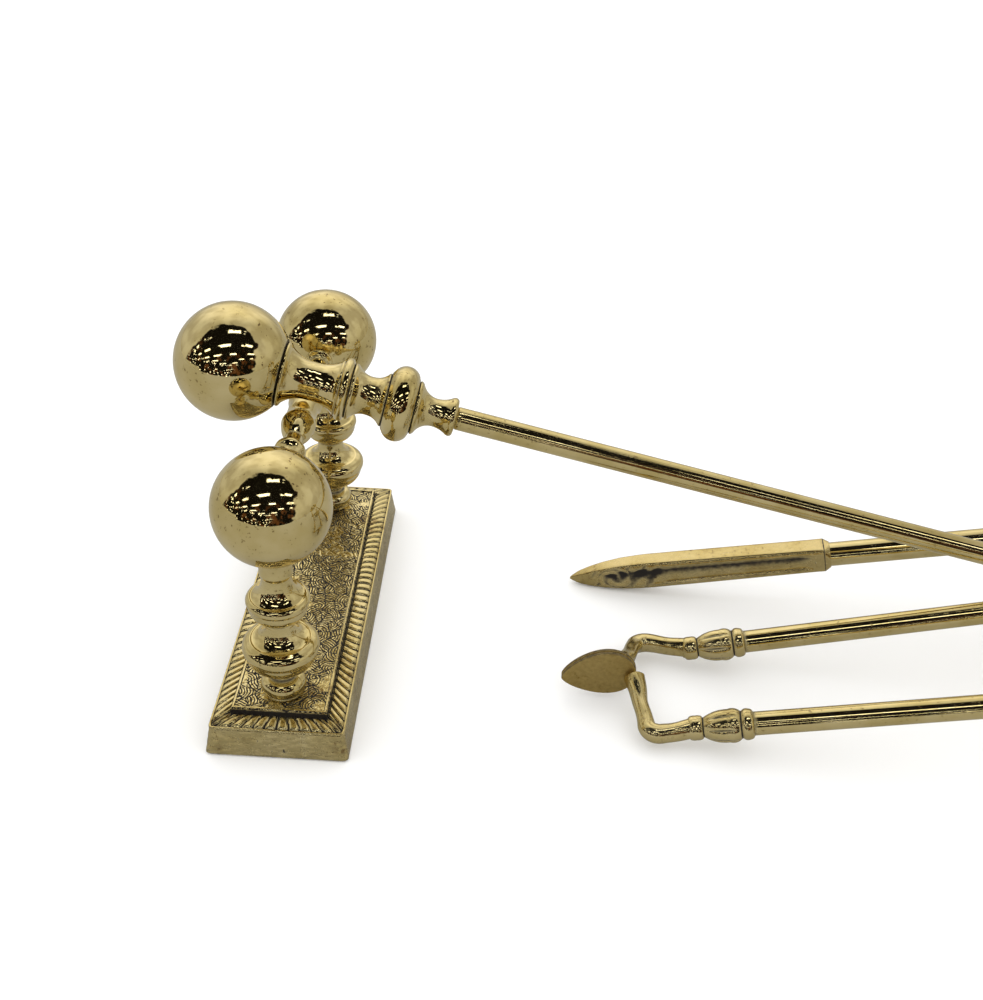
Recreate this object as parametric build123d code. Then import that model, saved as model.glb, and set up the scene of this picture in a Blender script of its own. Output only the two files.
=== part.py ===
from build123d import *
from math import cos, hypot, pi, sin, sqrt
import os

os.makedirs("parts", exist_ok=True)

# Brass fireplace tools laid across a pair of fire dogs. Millimetres, +Z up. The dogs run along Y
# and the tools lie along X. Places are worked out from the middle of the left dog's underside,
# and the finished set is moved so that its middle stands on the origin.

# Fire dogs
dogSpacing = 700.0
rightDogShift = -32.0
plateWidth = 60.4
plateLength = 197.0
rimHeight = 15.2
plateFlare = 2.3
plateWall = 4.0
borderWidth = 8.8
borderRise = 1.0
panelHeight = 19.6
panelDrop = 0.5
columnSpan = 151.2
ballRadius = 25.2
ballHeight = 119.2
ballSkin = 1.8
columnTop = 95.6
barEnd = 51.4
tieRodRadius = 3.0
barStudRadius = 2.5
barStudReach = 8.0
threadGap = 0.05

# Tools
handleBallRadius = 27.0
handleBallCentre = -30.9
rodRadius = 5.35
pokerRodRadius = 6.1
studRadius = 2.5
restHeight = 137.2
shovelRestY = 1.8
shovelSlope = -0.225
shovelDrift = -0.0121
pokerRestY = 4.1
pokerTip = (131.5, 40.9, 3.0)
pokerBladeLength = 132.0
tongsRestY = -68.0
tongsAxisPoint = (210.3, -49.2, 16.0)
hingeFromRest = 120.0
armEnd = 504.5
armSpread = 28.2
armTaper = 0.026
pinRadius = 3.0
pinGap = 0.06
padLength = 35.5
padStart = 47.6
padHeight = 24.5
padThickness = 2.2
padGap = 0.2

# Shovel pan
panRear = 470.0
panLength = 120.0
panRearWidth = 72.0
panFrontWidth = 98.0
panDepth = 44.0
panLip = 7.0
panSheet = 1.6
rivetRadius = 1.6

nodes = {}


def turned(profile):
    """Solid of revolution about Z. A point is a radius, a height and its arc's outward bulge."""
    edges = []
    for (r0, h0, _), (r1, h1, bulge) in zip(profile, profile[1:]):
        if bulge:
            edges.append(SagittaArc((r0, h0), (r1, h1), -bulge))
        else:
            edges.append(Line((r0, h0), (r1, h1)))
    first, last = profile[0], profile[-1]
    edges.append(Line((last[0], last[1]), (0, last[1])))
    edges.append(Line((0, last[1]), (0, first[1])))
    edges.append(Line((0, first[1]), (first[0], first[1])))
    return revolve(Plane.XZ * make_face(edges), Axis.Z)


def rod(radius, low, high):
    """Round bar about Z between two heights."""
    return Pos(0, 0, (low + high) / 2) * Cylinder(radius, high - low)


def toolFrame(rest, aim, side):
    """Frame at a tool's rest point: Z runs to its working end, X to the given side, Y upwards."""
    return Location(Plane(origin=rest, x_dir=side, z_dir=Vector(*aim) - Vector(*rest)))


def plate():
    """Cast plate: a flared wall, a sloping border, a raised panel, and a hollow underside."""
    foot = Rectangle(plateWidth + 2 * plateFlare, plateLength + 2 * plateFlare)
    rim = Rectangle(plateWidth, plateLength)
    panelSize = (plateWidth - 2 * borderWidth, plateLength - 2 * borderWidth)
    body = loft([fillet(foot.vertices(), 3.5), Pos(0, 0, rimHeight) * fillet(rim.vertices(), 2.0)])
    border = [Rectangle(plateWidth - 2.0, plateLength - 2.0), Rectangle(*panelSize)]
    body += Pos(0, 0, rimHeight) * loft([border[0], Pos(0, 0, borderRise) * border[1]])
    body += Pos(0, 0, panelHeight / 2) * Box(*panelSize, panelHeight)
    body -= Pos(0, 0, panelHeight) * Box(panelSize[0] - 2.6, panelSize[1] - 2.6, 2 * panelDrop)
    lowHollow = rimHeight - plateWall
    highHollow = panelHeight - plateWall
    body -= Pos(0, 0, lowHollow / 2) * Box(plateWidth - 2 * plateWall, plateLength - 2 * plateWall, lowHollow)
    inner = [side - 2 * plateWall for side in panelSize]
    body -= Pos(0, 0, highHollow / 2) * Box(*inner, highHollow)
    for y in (-columnSpan / 2, columnSpan / 2):
        body += Pos(0, y, 0) * rod(9.0, 9.0, highHollow + 1.0)
        body -= Pos(0, y, 0) * rod(tieRodRadius + threadGap, 0.0, panelHeight + 1.0)
    return body


def column():
    """Turned column: a bulb foot, a large ring and a small ring under trumpet necks."""
    foot = panelHeight - panelDrop
    profile = [
        (8.6, foot, 0),
        (6.3, 28.8, 2.3),
        (6.0, 31.6, 0),
        (9.0, 35.2, -0.8),
        (16.3, 43.4, 1.6),
        (14.3, 50.2, 1.6),
        (13.5, 50.4, 0),
        (6.6, 59.4, -2.2),
        (6.6, 60.8, 0),
        (8.2, 62.4, -0.4),
        (13.4, 70.0, 1.4),
        (12.4, 74.2, 0.9),
        (11.9, 74.4, 0),
        (7.6, 87.0, -2.5),
        (8.7, columnTop, -0.5),
    ]
    return turned(profile) - rod(tieRodRadius + threadGap, 0.0, columnTop + 1.0)


def hollowBall(radius, seats):
    """Spun ball. Each seat is a frame whose Z points outwards, the flat's depth and a bore radius."""
    body = Sphere(radius) - Sphere(radius - ballSkin)
    for outward, flat, bore in seats:
        seatRadius = sqrt(radius**2 - flat**2)
        body += outward * rod(seatRadius, flat - 2.4, flat)
        body += outward * rod(bore + 3.5, radius * 0.45, flat)
        body -= outward * rod(radius, flat, radius + 1.0)
        body -= outward * rod(bore + threadGap, radius * 0.5, radius + 1.0)
    return body


def crossbar():
    """Turned bar between the balls: end collars, beads, and twin swellings with a saddle between."""
    half = [
        (6.5, -barEnd, 0),
        (6.5, -49.4, 0),
        (4.4, -46.5, -0.6),
        (4.4, -40.0, 0),
        (6.3, -33.4, -0.5),
        (6.3, -29.8, 0.8),
        (3.9, -25.6, -0.4),
        (3.9, -21.6, 0),
        (7.5, -11.6, 0.5),
        (7.5, -7.6, 0.3),
        (6.8, -3.0, -0.1),
    ]
    other = [(half[i][0], -half[i][1], half[i + 1][2]) for i in range(len(half) - 2, -1, -1)]
    middle = (half[-1][0], -half[-1][1], 0)
    bar = turned(half + [middle] + other)
    socket = rod(barStudRadius + threadGap, barEnd - barStudReach - 0.7, barEnd)
    for turn in (0, 180):
        bar -= Rot(turn, 0, 0) * socket
    return Rot(-90, 0, 0) * bar


def hexNut(across, height, bore):
    """Plain hexagon nut standing on Z = 0."""
    blank = extrude(RegularPolygon(across / 2, 6, major_radius=False), height)
    return blank - rod(bore, -1.0, height + 1.0)


def fireDog(side, place):
    """Every piece of one dog, named for its side of the hearth."""
    spots = {"front": Pos(0, -columnSpan / 2, 0), "rear": Pos(0, columnSpan / 2, 0)}
    inward = {"front": -90, "rear": 90}
    nodes[side + "_base_plate"] = place * plate()
    for name, spot in spots.items():
        down = (Rot(180, 0, 0), ballHeight - columnTop, tieRodRadius)
        across = (Rot(inward[name], 0, 0), columnSpan / 2 - barEnd, barStudRadius)
        nodes[side + "_" + name + "_column"] = place * spot * column()
        ball = hollowBall(ballRadius, [down, across])
        nodes[side + "_" + name + "_ball"] = place * spot * Pos(0, 0, ballHeight) * ball
    nodes[side + "_crossbar"] = place * Pos(0, 0, ballHeight) * crossbar()
    studs, ties, washers, nuts = [], [], [], []
    for end, spot in zip((-1, 1), spots.values()):
        stud = Pos(0, end * barEnd, ballHeight) * Rot(90, 0, 0) * rod(barStudRadius, -barStudReach, barStudReach)
        studs.append(place * stud)
        ties.append(place * spot * rod(tieRodRadius, 3.0, ballHeight - ballRadius * 0.52))
        washers.append(place * spot * (rod(7.5, 7.6, 9.0) - rod(tieRodRadius + 0.2, 7.0, 10.0)))
        nuts.append(place * spot * Pos(0, 0, 3.0) * hexNut(10.0, 4.6, tieRodRadius + threadGap))
    nodes[side + "_crossbar_studs"] = Compound(children=studs)
    nodes[side + "_tie_rods"] = Compound(children=ties)
    nodes[side + "_washers"] = Compound(children=washers)
    nodes[side + "_nuts"] = Compound(children=nuts)


def handle(tool, frame, shaftRadius, shaftEnd):
    """Stack of turned pieces on a stud. Heights run from the rest point to the working end."""
    bore = studRadius + threadGap
    vaseStart, spoolStart, knopStart, collarStart, shaftStart = -9.2, 22.6, 39.8, 52.8, 72.4
    flat = vaseStart - handleBallCentre
    ball = hollowBall(handleBallRadius, [(Pos(0, 0, 0), flat, studRadius)])
    pieces = {"ball": Pos(0, 0, handleBallCentre) * ball}
    vase = [
        (15.2, vaseStart, 0),
        (14.2, -7.4, 0),
        (8.9, 5.0, -1.5),
        (12.6, 17.6, -1.2),
        (13.6, 18.0, 0),
        (14.6, 21.4, 0.2),
        (13.4, spoolStart, 0.1),
    ]
    spool = [(13.0, spoolStart, 0), (12.6, 24.2, 0.2), (8.9, 32.6, -1.3), (13.0, knopStart, -1.0)]
    knop = [(13.6, knopStart, 0), (14.2, collarStart, 3.6)]
    collar = [
        (12.6, collarStart, 0),
        (11.6, 54.6, 0.2),
        (6.5, 61.6, -1.2),
        (8.6, 69.6, -0.7),
        (8.8, 71.4, 0.3),
        (7.4, shaftStart, 0.2),
    ]
    for name, profile in {"vase": vase, "spool": spool, "knop": knop, "end_collar": collar}.items():
        pieces[name] = turned(profile) - rod(bore, vaseStart - 1.0, shaftStart + 1.0)
    studEnd = shaftStart + 14.0
    pieces["handle_stud"] = rod(studRadius, handleBallCentre + handleBallRadius * 0.55, studEnd)
    shaft = rod(shaftRadius, shaftStart, shaftEnd)
    pieces["shaft"] = shaft - rod(bore, shaftStart - 1.0, studEnd + 0.5)
    for name, piece in pieces.items():
        nodes[tool + "_" + name] = frame * piece


def shovel():
    """Shovel: its pan lies on the ground and its rear wall stands square to the shaft."""
    aim = (1.0, shovelDrift + shovelRestY, restHeight + shovelSlope)
    frame = toolFrame((0, shovelRestY, restHeight), aim, (0, 1, 0))
    tilt = -shovelSlope
    reach = hypot(1.0, shovelDrift, shovelSlope)
    wallX = (panRear - restHeight * tilt) / (1 - tilt**2)
    wallAt = wallX * reach
    socketStart = wallAt - 36.0
    handle("shovel", frame, rodRadius, socketStart + 6.0)
    meeting = (frame * Pos(0, 0, wallAt)).position
    wall = Location(Plane(origin=meeting, x_dir=(0, 1, 0), z_dir=(1, 0, tilt)))
    socket = turned([
        (7.2, socketStart, 0),
        (7.2, socketStart + 2.6, 0.4),
        (6.2, socketStart + 3.6, 0),
        (8.8, socketStart + 13.0, 1.2),
        (5.6, socketStart + 22.0, 0.6),
        (7.0, socketStart + 25.0, 0.9),
        (5.6, socketStart + 28.0, 0.9),
        (9.0, wallAt + 4.0, -0.8),
    ])
    socket = frame * (socket - rod(rodRadius, socketStart - 1.0, socketStart + 6.0))
    socket += wall * rod(14.5, -2.6, 0.0)
    socket -= wall * rod(40.0, 0.0, 30.0)
    rivets = []
    for angle in (pi / 2, pi * 7 / 6, pi * 11 / 6):
        spot = wall * Pos(11.0 * cos(angle), 11.0 * sin(angle), 0)
        socket -= spot * rod(rivetRadius, -4.0, 1.0)
        head = Pos(0, 0, panSheet) * scale(Sphere(2.8), by=(1, 1, 0.45))
        rivets.append(spot * (rod(rivetRadius, -2.6, panSheet) + (head - rod(5.0, -3.0, panSheet))))
    nodes["shovel_socket"] = socket
    nodes["shovel_rivets"] = Compound(children=rivets)

    centreY = shovelRestY + shovelDrift * wallX
    rise = panDepth * tilt

    def outline(rear, front, grow, rearGrow):
        """Trapezium of the pan at one level, widened by the same amount on both sides."""
        halfRear = panRearWidth / 2 + grow
        halfFront = panFrontWidth / 2 + grow
        points = [(rear - rearGrow, -halfRear), (front, -halfFront), (front, halfFront)]
        points.append((rear - rearGrow, halfRear))
        face = make_face(Polyline(points, close=True))
        return face

    front = panRear + panLength
    outer = loft([outline(panRear, front, 0, 0), Pos(0, 0, panDepth) * outline(panRear, front, rise, rise)])
    sheet = -panSheet
    low = Pos(0, 0, panSheet) * outline(panRear, front + 20, sheet + panSheet * tilt, sheet)
    high = Pos(0, 0, panDepth + 1) * outline(panRear, front + 20, sheet + rise, sheet + rise)
    body = outer - loft([low, high])
    slope = [(panRear - 30, panDepth + 9.0), (front + 5, panLip - 1.6), (front + 5, 90), (panRear - 30, 90)]
    cut = extrude(Plane.XZ * make_face(Polyline(slope, close=True)), 80, both=True)
    body = Pos(0, centreY, 0) * (body - cut)
    for rivet in rivets:
        body -= rivet
    nodes["shovel_pan"] = body


def octagon(width, height, corner):
    """Flat-sided section of the poker's point."""
    x, y = width / 2, height / 2
    points = [(x, -y + corner), (x, y - corner), (x - corner, y), (-x + corner, y)]
    points += [(-a, -b) for a, b in points]
    return make_face(Polyline(points, close=True))


def poker():
    """Poker: a long flat-sided spear point socketed on the shaft."""
    rest = (dogSpacing, pokerRestY, restHeight)
    frame = toolFrame(rest, pokerTip, (0, -1, 0))
    length = sqrt(sum((a - b) ** 2 for a, b in zip(rest, pokerTip)))
    socket = length - pokerBladeLength
    handle("poker", frame, pokerRodRadius, socket + 6.0)
    sections = [
        (0.0, 12.6, 13.0, 3.0),
        (5.0, 11.8, 14.0, 2.4),
        (40.0, 11.4, 15.2, 2.4),
        (92.0, 11.0, 16.4, 2.4),
        (108.0, 9.6, 14.2, 2.2),
        (120.0, 7.0, 9.8, 1.8),
        (128.0, 4.0, 5.2, 1.0),
        (pokerBladeLength, 1.4, 1.6, 0.4),
    ]
    faces = [Pos(0, 0, socket + h) * octagon(w, t, c) for h, w, t, c in sections]
    point = loft(faces, ruled=True) + rod(6.9, socket - 3.0, socket)
    nodes["poker_point"] = frame * (point - rod(pokerRodRadius, socket - 4.0, socket + 6.0))


def tongsArm(side, start):
    """Round arm that leaves the head sideways, turns at the shoulder and tapers towards the foot."""
    last = (side * armSpread, 0, armEnd)
    cornerHeight = hingeFromRest + 2.0
    corner = (side * (armSpread + armTaper * (armEnd - cornerHeight)), 0, cornerHeight)
    path = FilletPolyline((side * start, 0, hingeFromRest), corner, last, radius=24.0)
    section = Plane(origin=path @ 0, z_dir=path % 0) * Circle(rodRadius)
    return sweep(section, path=path)


def claw(side):
    """Cast foot: collar, faceted swelling, ring, and a shank that turns in and up to the pad."""
    base = Plane(origin=(side * armSpread, 0, armEnd), x_dir=(1, 0, 0), z_dir=(-side * armTaper, 0, 1))
    swelling = turned([
        (6.9, -2.6, 0),
        (6.9, 1.4, 0.3),
        (6.3, 2.2, 0),
        (7.5, 8.0, 0.8),
        (4.6, 19.0, 0.9),
        (5.4, 19.8, 0),
        (5.2, 25.2, 0.3),
        (4.2, 26.0, 0),
    ])
    start = Vector(side * (armSpread - armTaper * 24.0), 0, armEnd + 24.0)
    if side > 0:
        heel = Vector(armSpread + 4.6, 2.6, armEnd + 43.6)
        pad = Vector(0, 11.0, armEnd + 49.4)
    else:
        heel = Vector(-armSpread - 5.4, 2.6, armEnd + 48.6)
        pad = Vector(0, 16.2, armEnd + 54.6)
    path = FilletPolyline(start, heel, pad, radius=6.0)
    shank = sweep(Plane(origin=path @ 0, z_dir=path % 0) * Circle(4.3), path=path)
    foot = Location(base) * swelling + shank
    inner = Pos(0, 0, armEnd + 50) * Box(2 * (padGap + padThickness), 80, 160)
    return foot - inner


def pad(side):
    """Leaf-shaped gripping pad, pointed towards the tip, with a flat face on the middle plane."""
    heel = armEnd + padStart
    tip = heel + padLength
    middle = 15.0
    half = padHeight / 2
    widest = heel + padLength * 0.36
    edges = [
        ThreePointArc((tip, middle), ((tip + widest) / 2 + 2.0, middle + half * 0.72), (widest, middle + half)),
        ThreePointArc((widest, middle + half), (heel + 2.6, middle + half * 0.62), (heel, middle)),
        ThreePointArc((heel, middle), (heel + 2.6, middle - half * 0.62), (widest, middle - half)),
        ThreePointArc((widest, middle - half), ((tip + widest) / 2 + 2.0, middle - half * 0.72), (tip, middle)),
    ]
    across = Plane(origin=(side * padGap, 0, 0), x_dir=(0, 0, 1), z_dir=(side, 0, 0))
    face = make_face(edges)
    if side > 0:
        face = mirror(face, Plane.XZ)
    return extrude(across * face, padThickness)


def tongs():
    """Tongs: the far arm is brazed to the head, the near arm turns on the rivet through it."""
    rest = Vector(dogSpacing, tongsRestY, restHeight)
    frame = toolFrame(rest, tongsAxisPoint, (0, -1, 0))
    cheek = 9.6
    eyeHalf = 2.0
    headHalf = 5.6
    neckStart = hingeFromRest - 18.0
    handle("tongs", frame, rodRadius, neckStart + 5.0)

    hinge = Pos(0, 0, hingeFromRest) * Rot(90, 0, 0)
    head = hinge * rod(cheek, -headHalf, headHalf)
    neck = [(7.4, neckStart, 0), (7.4, neckStart + 2.4, 0.4), (6.6, neckStart + 3.0, 0)]
    head += turned(neck + [(5.6, neckStart + 12.0, 0)])
    head -= hinge * rod(cheek + 0.6, -eyeHalf - 0.15, eyeHalf + 0.15)
    head -= rod(rodRadius, neckStart - 1.0, neckStart + 5.0)
    head -= hinge * rod(pinRadius, -20.0, 20.0)
    nodes["tongs_head"] = frame * head

    pin = rod(pinRadius, -headHalf, headHalf)
    for end in (-1, 1):
        dome = Pos(0, 0, end * headHalf) * scale(Sphere(5.0), by=(1, 1, 0.4))
        pin += dome - Box(20, 20, 2 * headHalf)
    nodes["tongs_rivet"] = frame * hinge * pin

    sleeve = hinge * rod(cheek, -20.0, 20.0)
    nodes["tongs_fixed_arm"] = frame * (tongsArm(-1, 4.0) - sleeve)
    room = hinge * rod(cheek + 0.4, -20.0, 20.0)
    eye = hinge * rod(cheek - 0.6, -eyeHalf, eyeHalf)
    eye += Pos(9.0, 0, hingeFromRest) * Box(18.0, 2 * eyeHalf, 9.0)
    moving = (tongsArm(1, 4.0) - room) + eye
    nodes["tongs_moving_arm"] = frame * (moving - hinge * rod(pinRadius + pinGap, -20.0, 20.0))

    for name, side in (("fixed", -1), ("moving", 1)):
        rodEnd = Plane(origin=(side * armSpread, 0, armEnd), x_dir=(1, 0, 0), z_dir=(-side * armTaper, 0, 1))
        foot = claw(side) - Location(rodEnd) * rod(rodRadius, -20.0, 0.0)
        nodes["tongs_" + name + "_claw"] = frame * foot
        nodes["tongs_" + name + "_pad"] = frame * pad(side)

    return frame * Pos(0, 0, hingeFromRest), frame * Pos(0, 1, hingeFromRest)


fireDog("left", Pos(0, 0, 0))
fireDog("right", Pos(dogSpacing, rightDogShift, 0))
shovel()
poker()
hingeCentre, hingeAbove = tongs()

boxes = [piece.bounding_box() for piece in nodes.values()]
middleX = (min(box.min.X for box in boxes) + max(box.max.X for box in boxes)) / 2
middleY = (min(box.min.Y for box in boxes) + max(box.max.Y for box in boxes)) / 2
middle = Pos(-middleX, -middleY, 0)
for node, piece in nodes.items():
    export_step(middle * piece, "parts/" + node + ".step")

hingePlace = (middle * hingeCentre).position
hingeAxis = hingeAbove.position - hingeCentre.position
print(len(nodes), "parts written")
print("left dog stands at", [round(v, 3) for v in middle.position])
print("tongs hinge is at", [round(v, 3) for v in hingePlace])
print("tongs hinge axis is", [round(v, 5) for v in hingeAxis])
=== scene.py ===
import bpy
import numpy as np
from mathutils import Matrix, Vector

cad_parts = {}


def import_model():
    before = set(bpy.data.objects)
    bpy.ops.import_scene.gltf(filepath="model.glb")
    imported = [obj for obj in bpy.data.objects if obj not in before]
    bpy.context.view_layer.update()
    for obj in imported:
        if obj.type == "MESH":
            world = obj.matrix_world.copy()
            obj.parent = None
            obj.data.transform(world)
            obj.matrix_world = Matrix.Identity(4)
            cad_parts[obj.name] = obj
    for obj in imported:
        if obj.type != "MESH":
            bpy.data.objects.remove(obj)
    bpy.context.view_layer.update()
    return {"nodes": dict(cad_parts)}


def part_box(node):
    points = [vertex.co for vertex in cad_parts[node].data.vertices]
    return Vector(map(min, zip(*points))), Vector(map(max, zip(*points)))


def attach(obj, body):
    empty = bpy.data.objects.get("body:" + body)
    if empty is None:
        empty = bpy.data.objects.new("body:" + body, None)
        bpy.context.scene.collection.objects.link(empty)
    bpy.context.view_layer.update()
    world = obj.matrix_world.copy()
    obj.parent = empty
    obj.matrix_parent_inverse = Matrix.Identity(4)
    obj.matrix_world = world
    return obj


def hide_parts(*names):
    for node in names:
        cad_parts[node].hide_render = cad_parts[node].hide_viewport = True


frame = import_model()
mm = 0.001
print("frame loaded:", len(frame["nodes"]), "nodes")


# A shape is a dictionary of points in millimetres, quads, triangles and a value per point that holds patina
# and, on some parts, painted shade.
def ringSurface(rings, patinaAndShade):
    # Rows of rings (rows, around, 3). Each quad joins a point, the next one round, and the same
    # two on the next row. Both ends are closed by a fan to the middle of their ring.
    rows, around = rings.shape[:2]
    row, col = np.meshgrid(np.arange(rows - 1), np.arange(around), indexing="ij")
    nextCol = (col + 1) % around
    quads = np.stack([row * around + col, row * around + nextCol,
                      (row + 1) * around + nextCol, (row + 1) * around + col], axis=-1).reshape(-1, 4)
    last = (rows - 1) * around
    points = np.vstack([rings.reshape(-1, 3), rings[0].mean(axis=0), rings[-1].mean(axis=0)])
    values = np.broadcast_to(patinaAndShade, (rows, around)).reshape(-1)
    values = np.append(values, [values[0], values[last]])
    here = np.arange(around)
    after = (here + 1) % around
    startFan = np.stack([after, here, np.full(around, last + around)], axis=-1)
    endFan = np.stack([last + here, last + after, np.full(around, last + around + 1)], axis=-1)
    return {"points": points, "quads": quads, "fans": np.vstack([startFan, endFan]), "patinaAndShade": values}


def arcPoints(profile, step=0.3):
    # A profile point is a radius, a height and the outward bulge of the arc that comes to it.
    # The arc through both ends and the bulge is sampled evenly.
    line = [np.array([profile[0][:2]], float)]
    for (r0, h0, _), (r1, h1, bulge) in zip(profile, profile[1:]):
        start, end = np.array([r0, h0], float), np.array([r1, h1], float)
        chord = end - start
        length = np.hypot(*chord)
        count = max(2, int(np.ceil(length / step)))
        t = np.linspace(0, 1, count + 1)[1:]
        out = np.array([chord[1], -chord[0]]) / max(length, 1e-9)
        if abs(bulge) > 1e-6:
            radius = (length * length / 4 + bulge * bulge) / (2 * abs(bulge))
            half = np.arcsin(min(1.0, length / 2 / radius))
            if abs(bulge) > length / 2:
                half = np.pi - half
            angle = half * (2 * t - 1)
            along = radius * np.sin(angle)
            rise = radius * np.cos(angle) - radius * np.cos(half)
            middle = (start + end) / 2
            line.append(middle + np.outer(along, chord / length) + np.outer(np.sign(bulge) * rise, out))
        else:
            line.append(start + np.outer(t, chord))
    return np.vstack(line)


def evenly(line, step):
    # The same line with points one step apart.
    reach = np.concatenate([[0], np.cumsum(np.linalg.norm(np.diff(line, axis=0), axis=1))])
    count = max(4, int(reach[-1] / step))
    at = np.linspace(0, reach[-1], count + 1)
    return np.stack([np.interp(at, reach, line[:, k]) for k in range(line.shape[1])], axis=-1)


def softened(values, width):
    # A moving average with a bell-shaped weight, mirrored at both ends.
    reach = max(1, int(np.ceil(width * 3)))
    weight = np.exp(-0.5 * (np.arange(-reach, reach + 1) / width) ** 2)
    weight /= weight.sum()
    before, after = 2 * values[:1] - values[reach:0:-1], 2 * values[-1:] - values[-2:-reach - 2:-1]
    padded = np.concatenate([before, values, after])
    return np.convolve(padded, weight, "valid")


def turned(profile, step=0.34, around=112, edge=0.25, groove=1.3, depth=0.5, wax=(0.0, 0.0),
           lobes=None):
    # Profile turned about the height axis: x = r cos a, y = r sin a. Corners are rubbed round by a
    # short moving average, and the patina grows where the profile lies below its longer average.
    # The two wax values darken its ends, and lobes gives a number of petals and their two heights.
    line = evenly(arcPoints(profile), step)
    reach = len(line)
    width = edge / step
    if reach > 12 * width + 8:
        line = np.stack([softened(line[:, 0], width), softened(line[:, 1], width)], axis=-1)
    wide = groove / step
    hollow = np.zeros(reach)
    if reach > 3 * wide + 4:
        hollow = np.clip((softened(line[:, 0], wide) - line[:, 0]) / depth, 0, 1)
    line[:, 0] = np.maximum(line[:, 0], 0.02)
    run = np.concatenate([[0], np.cumsum(np.hypot(*np.diff(line, axis=0).T))])
    hollow = np.maximum(hollow, wax[0] * np.exp(-(run / 0.75) ** 2))
    hollow = np.maximum(hollow, wax[1] * np.exp(-((run[-1] - run) / 0.75) ** 2))[:, None]
    angle = np.arange(around) * 2 * np.pi / around
    radius = np.repeat(line[:, :1], around, axis=1)
    if lobes:
        count, low, high = lobes
        where = np.clip((line[:, 1] - low) / (high - low), 0, 1)[:, None]
        depthHere = np.sin(where * np.pi) ** 0.7
        petal = np.abs(np.cos(count * angle / 2))[None, :] ** 0.6
        radius = radius * (1 - 0.10 * depthHere * (1 - petal))
        hollow = np.maximum(hollow, depthHere * np.clip(1 - petal * 1.5, 0, 1))
    rings = np.stack([radius * np.cos(angle), radius * np.sin(angle),
                      np.repeat(line[:, 1:], around, axis=1)], axis=-1)
    return ringSurface(rings, hollow)


def carried(path, section, patinaAndShade):
    # A section carried along a path: path is (n, 3), section is (n, around, 2) in the two
    # directions square to the path, the first of them kept nearest to the Y direction.
    tangent = np.gradient(path, axis=0)
    tangent /= np.linalg.norm(tangent, axis=1)[:, None]
    first = np.array([0.0, 1.0, 0.0]) - tangent * tangent[:, 1:2]
    first /= np.linalg.norm(first, axis=1)[:, None]
    second = np.cross(tangent, first)
    rings = path[:, None] + section[:, :, :1] * first[:, None] + section[:, :, 1:] * second[:, None]
    return ringSurface(rings, patinaAndShade)


def bentPath(corners, radius, step=1.2):
    # Straight runs joined by arcs of one radius, tangent to both runs.
    corners = [np.array(c, float) for c in corners]
    line = [corners[0][None]]
    for before, here, after in zip(corners, corners[1:], corners[2:]):
        a = (before - here) / np.linalg.norm(before - here)
        b = (after - here) / np.linalg.norm(after - here)
        half = np.arccos(np.clip(a @ b, -1, 1)) / 2
        back = radius / np.tan(half)
        centre = here + (a + b) / np.linalg.norm(a + b) * radius / np.sin(half)
        start, end = here + a * back - centre, here + b * back - centre
        sweep = np.pi - 2 * half
        t = np.linspace(0, 1, max(4, int(radius * sweep / step)))[:, None]
        line.append(centre + (np.sin((1 - t) * sweep) * start + np.sin(t * sweep) * end) / np.sin(sweep))
    line.append(corners[-1][None])
    return evenly(np.vstack(line), step)


def placed(shape, place):
    # The same shape after a 4 by 4 placing matrix, in millimetres.
    points = shape["points"] @ place[:3, :3].T + place[:3, 3]
    return {**shape, "points": points}


def joined(*shapes):
    # Several closed shapes in one mesh.
    start, quads, fans = 0, [], []
    for shape in shapes:
        quads.append(shape["quads"] + start)
        fans.append(shape["fans"] + start)
        start += len(shape["points"])
    return {"points": np.vstack([s["points"] for s in shapes]), "quads": np.vstack(quads),
            "fans": np.vstack(fans), "patinaAndShade": np.concatenate([s["patinaAndShade"] for s in shapes])}


def moved(x=0.0, y=0.0, z=0.0, turn=None):
    # A placing matrix: a shift after an optional 3 by 3 turn.
    place = np.eye(4)
    if turn is not None:
        place[:3, :3] = turn
    place[:3, 3] = (x, y, z)
    return place


def aimed(origin, direction, side):
    # A placing matrix whose third axis is the direction and whose first is nearest to the side.
    third = np.array(direction, float) / np.linalg.norm(direction)
    first = np.array(side, float) - third * (third @ np.array(side, float))
    first /= np.linalg.norm(first)
    return moved(*origin, turn=np.stack([first, np.cross(third, first), third], axis=-1))


def piece(name, shape, material, body, nodes):
    # Puts the arrays into a mesh at the origin, in metres, and ties it to its CAD nodes.
    quads, fans = shape["quads"], shape["fans"]
    mesh = bpy.data.meshes.new(name)
    mesh.vertices.add(len(shape["points"]))
    mesh.vertices.foreach_set("co", (shape["points"] * mm).ravel())
    mesh.loops.add(quads.size + fans.size)
    mesh.loops.foreach_set("vertex_index", np.concatenate([quads.ravel(), fans.ravel()]))
    mesh.polygons.add(len(quads) + len(fans))
    starts = np.concatenate([np.arange(len(quads)) * 4, quads.size + np.arange(len(fans)) * 3])
    mesh.polygons.foreach_set("loop_start", starts)
    mesh.update(calc_edges=True)
    mesh.polygons.foreach_set("use_smooth", np.ones(len(mesh.polygons), bool))
    # This attribute carries patina and, on some parts, painted shade.
    layer = mesh.attributes.new("patinaAndShade", "FLOAT", "POINT")
    layer.data.foreach_set("value", shape["patinaAndShade"].astype(np.float32))
    mesh.validate()
    mesh.materials.append(material)
    made = bpy.data.objects.new(name, mesh)
    bpy.context.scene.collection.objects.link(made)
    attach(made, body)
    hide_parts(*nodes)


def nodeTree(name):
    material = bpy.data.materials.new(name)
    material.use_nodes = True
    tree = material.node_tree
    return material, tree, tree.nodes["Principled BSDF"]


def feed(tree, socket, value):
    # A socket takes a link or a plain value.
    if isinstance(value, bpy.types.NodeSocket):
        tree.links.new(value, socket)
    else:
        socket.default_value = value


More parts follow.
